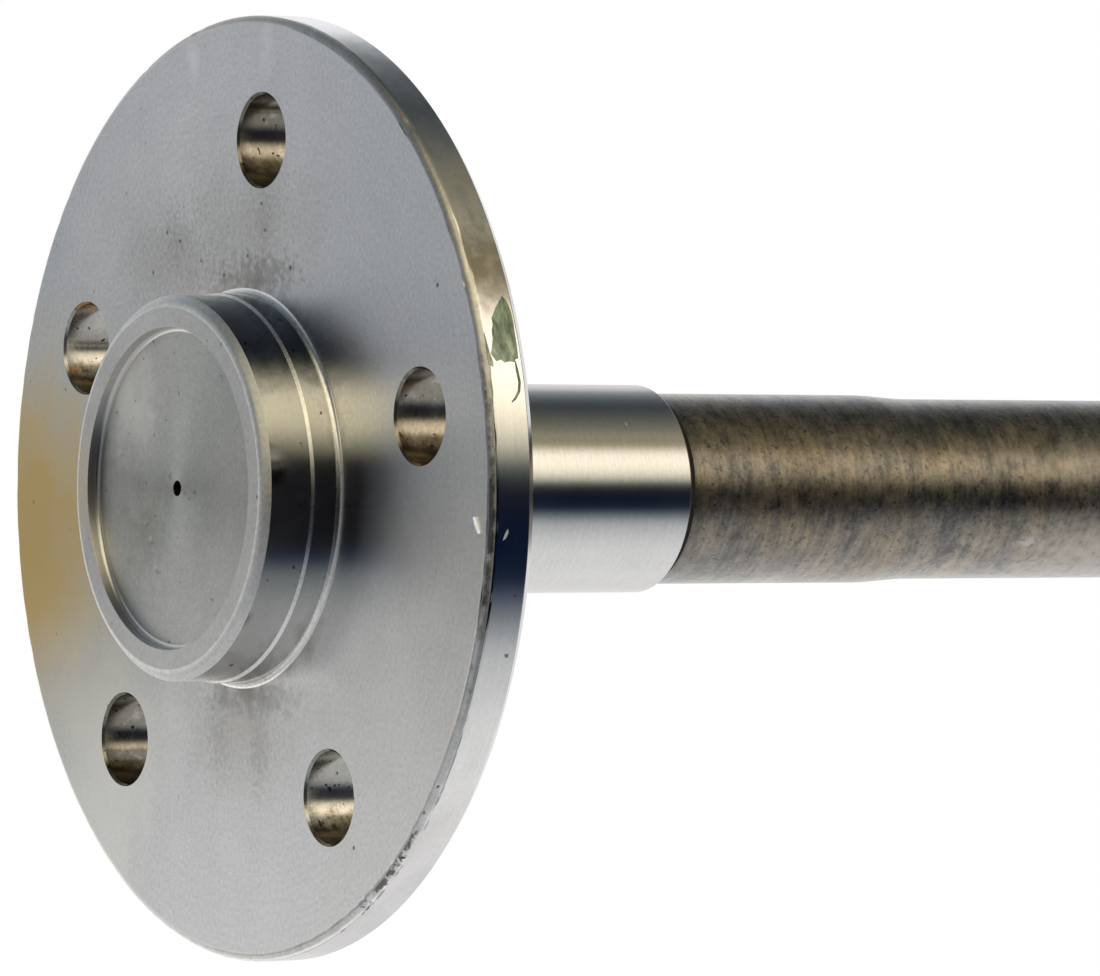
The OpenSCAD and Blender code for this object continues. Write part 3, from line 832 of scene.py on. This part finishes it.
# The studio: a white surround, a pale floor and a round cloth tent about the shaft's line.
# Each half is hung with a low black flag, a warm soft light over it and a dark cloth overhead.
# Grey cloth closes both ends, and the camera looks through the tent.
floor_level = -1.05
tent_radius = 1.0
tent_middle = -0.05
tent_bands = {
    "back_tent": (tent_middle, 2.0, (0.1, 0.1, 0.105), [
        (-90.0, (1.03, 1.02, 1.03)), (-72.0, (1.0, 1.0, 1.0)), (-55.0, (0.83, 0.84, 0.85)),
        (-47.0, (0.72, 0.73, 0.74)), (-41.0, (0.63, 0.65, 0.66)), (-35.5, (0.44, 0.46, 0.48)),
        (-30.5, (0.23, 0.25, 0.28)), (-26.0, (0.08, 0.1, 0.15)), (-22.0, (0.0, 0.007, 0.03)),
        (1.0, (0.0, 0.002, 0.012)), (5.0, (0.05, 0.07, 0.08)), (9.5, (0.6, 0.57, 0.45)),
        (14.5, (1.1, 1.0, 0.79)), (21.0, (1.55, 1.39, 1.1)), (29.0, (1.75, 1.57, 1.27)),
        (37.0, (1.66, 1.49, 1.21)), (43.5, (1.02, 0.91, 0.72)), (48.0, (0.44, 0.38, 0.26)),
        (54.0, (0.36, 0.315, 0.21)), (60.0, (0.4, 0.365, 0.265)), (68.0, (0.26, 0.25, 0.19)),
        (78.0, (0.18, 0.178, 0.14)), (88.0, (0.11, 0.118, 0.11)), (102.0, (0.06, 0.07, 0.076)),
        (114.0, (0.11, 0.125, 0.14)), (125.0, (0.24, 0.26, 0.28)), (134.0, (0.38, 0.41, 0.43)),
        (141.0, (0.7, 0.72, 0.73)), (150.0, (0.86, 0.86, 0.87)), (190.0, (0.9, 0.89, 0.88)),
        (250.0, (1.08, 1.07, 1.08)), (270.0, (1.03, 1.02, 1.03))]),
    "front_tent": (tent_middle, -2.0, (0.15, 0.155, 0.168), [
        (-90.0, (0.52, 0.53, 0.54)), (-74.0, (0.49, 0.51, 0.52)), (-54.0, (0.255, 0.285, 0.31)),
        (-42.0, (0.0, 0.02, 0.06)), (-34.0, (0.0, 0.0, 0.004)), (16.0, (0.0, 0.0, 0.004)),
        (25.0, (0.4, 0.38, 0.26)), (36.0, (1.1, 0.99, 0.7)), (47.0, (1.3, 1.15, 0.78)),
        (58.0, (1.26, 1.12, 0.82)), (70.0, (0.6, 0.55, 0.4)), (80.0, (0.07, 0.08, 0.06)),
        (91.0, (0.02, 0.033, 0.048)), (105.0, (0.06, 0.07, 0.09)), (119.0, (0.115, 0.137, 0.18)),
        (132.0, (0.165, 0.205, 0.25)), (144.0, (0.25, 0.31, 0.33)), (155.0, (0.5, 0.53, 0.54)),
        (164.0, (0.64, 0.645, 0.68)), (171.0, (0.575, 0.59, 0.615)), (177.0, (0.46, 0.495, 0.525)),
        (183.0, (0.39, 0.37, 0.31)), (189.0, (1.2, 1.19, 1.2)), (196.0, (1.08, 1.07, 1.03)),
        (206.0, (0.64, 0.635, 0.6)), (221.0, (0.4, 0.405, 0.415)), (240.0, (0.48, 0.485, 0.49)),
        (270.0, (0.52, 0.53, 0.54))]),
}
for name, (near, far, end_colour, bands) in tent_bands.items():
    cloth = bmesh.new()
    upright = Matrix.Translation((0.0, near, 0.0)) @ Matrix.Rotation(math.pi / 2, 4, "X")
    bmesh.ops.create_circle(cloth, radius=tent_radius, segments=128, matrix=upright)
    drawn = bmesh.ops.extrude_edge_only(cloth, edges=cloth.edges[:])["geom"]
    far_verts = [v for v in drawn if isinstance(v, bmesh.types.BMVert)]
    far_edges = [e for e in drawn if isinstance(e, bmesh.types.BMEdge)]
    bmesh.ops.translate(cloth, verts=far_verts, vec=(0.0, far - near, 0.0))
    for face in bmesh.ops.contextual_create(cloth, geom=far_edges)["faces"]:
        face.material_index = 1
    tent = bpy.data.objects.new(name, bpy.data.meshes.new(name))
    cloth.to_mesh(tent.data)
    cloth.free()
    glow = bpy.data.materials.new(name)
    glow.use_nodes = True
    tree = glow.node_tree
    shader = tree.nodes["Principled BSDF"]
    shader.inputs["Base Color"].default_value = (0.0, 0.0, 0.0, 1.0)
    shader.inputs["Specular IOR Level"].default_value = 0.0
    shader.inputs["Emission Strength"].default_value = 1.0
    end_glow = glow.copy()
    end_glow.node_tree.nodes["Principled BSDF"].inputs["Emission Color"].default_value = (*end_colour, 1.0)
    spot = place(tree, "ShaderNodeTexCoord").outputs["Object"]
    split = place(tree, "ShaderNodeSeparateXYZ", {0: spot})
    turn = sums(tree, "ARCTAN2", sums(tree, "MULTIPLY", split.outputs["X"], -1.0), split.outputs["Z"])
    ramp = place(tree, "ShaderNodeValToRGB", {"Fac": remap(tree, turn, -math.pi, math.pi, 0.0, 1.0)})
    for _ in range(len(bands) - 2):
        ramp.color_ramp.elements.new(0.5)
    for stop, (angle, colour) in zip(ramp.color_ramp.elements, bands):
        stop.position = (angle + 90.0) / 360.0
        stop.color = (*colour, 1.0)
    tree.links.new(ramp.outputs["Color"], shader.inputs["Emission Color"])
    tent.data.materials.append(glow)
    tent.data.materials.append(end_glow)
    tent.visible_camera = False
    bpy.context.scene.collection.objects.link(tent)

floor_mesh = bmesh.new()
bmesh.ops.create_grid(
    floor_mesh, x_segments=2, y_segments=2, size=2.5, matrix=Matrix.Translation((0.0, 0.3, floor_level)))
floor = bpy.data.objects.new("studio_floor", bpy.data.meshes.new("studio_floor"))
floor_mesh.to_mesh(floor.data)
floor_mesh.free()
floor_paint = bpy.data.materials.new("studio_floor")
floor_paint.use_nodes = True
shader = floor_paint.node_tree.nodes["Principled BSDF"]
shader.inputs["Base Color"].default_value = (0.8, 0.8, 0.8, 1.0)
shader.inputs["Roughness"].default_value = 0.9
shader.inputs["Emission Color"].default_value = (1.0, 1.0, 1.0, 1.0)
shader.inputs["Emission Strength"].default_value = 0.5
floor.data.materials.append(floor_paint)
bpy.context.scene.collection.objects.link(floor)

world = bpy.data.worlds.new("white_surround")
world.use_nodes = True
world.node_tree.nodes["Background"].inputs["Color"].default_value = (1.0, 1.0, 1.0, 1.0)
world.node_tree.nodes["Background"].inputs["Strength"].default_value = 1.0
bpy.context.scene.world = world
bpy.context.scene.view_settings.view_transform = "Standard"

# The camera: level with the shaft's axis, in front of the wheel face and to its right.
# A long lens from a little over a metre, as the photograph was taken.
camera = bpy.data.objects.new("camera", bpy.data.cameras.new("camera"))
camera.location = (1.1261, -0.6559, 0.0001)
camera.rotation_euler = (math.radians(90.0), math.radians(-0.06), math.radians(57.554))
camera.data.sensor_width = 36.0
camera.data.lens = 260.26
camera.data.clip_start = 0.05
camera.data.clip_end = 100.0
bpy.context.scene.collection.objects.link(camera)
bpy.context.scene.camera = camera
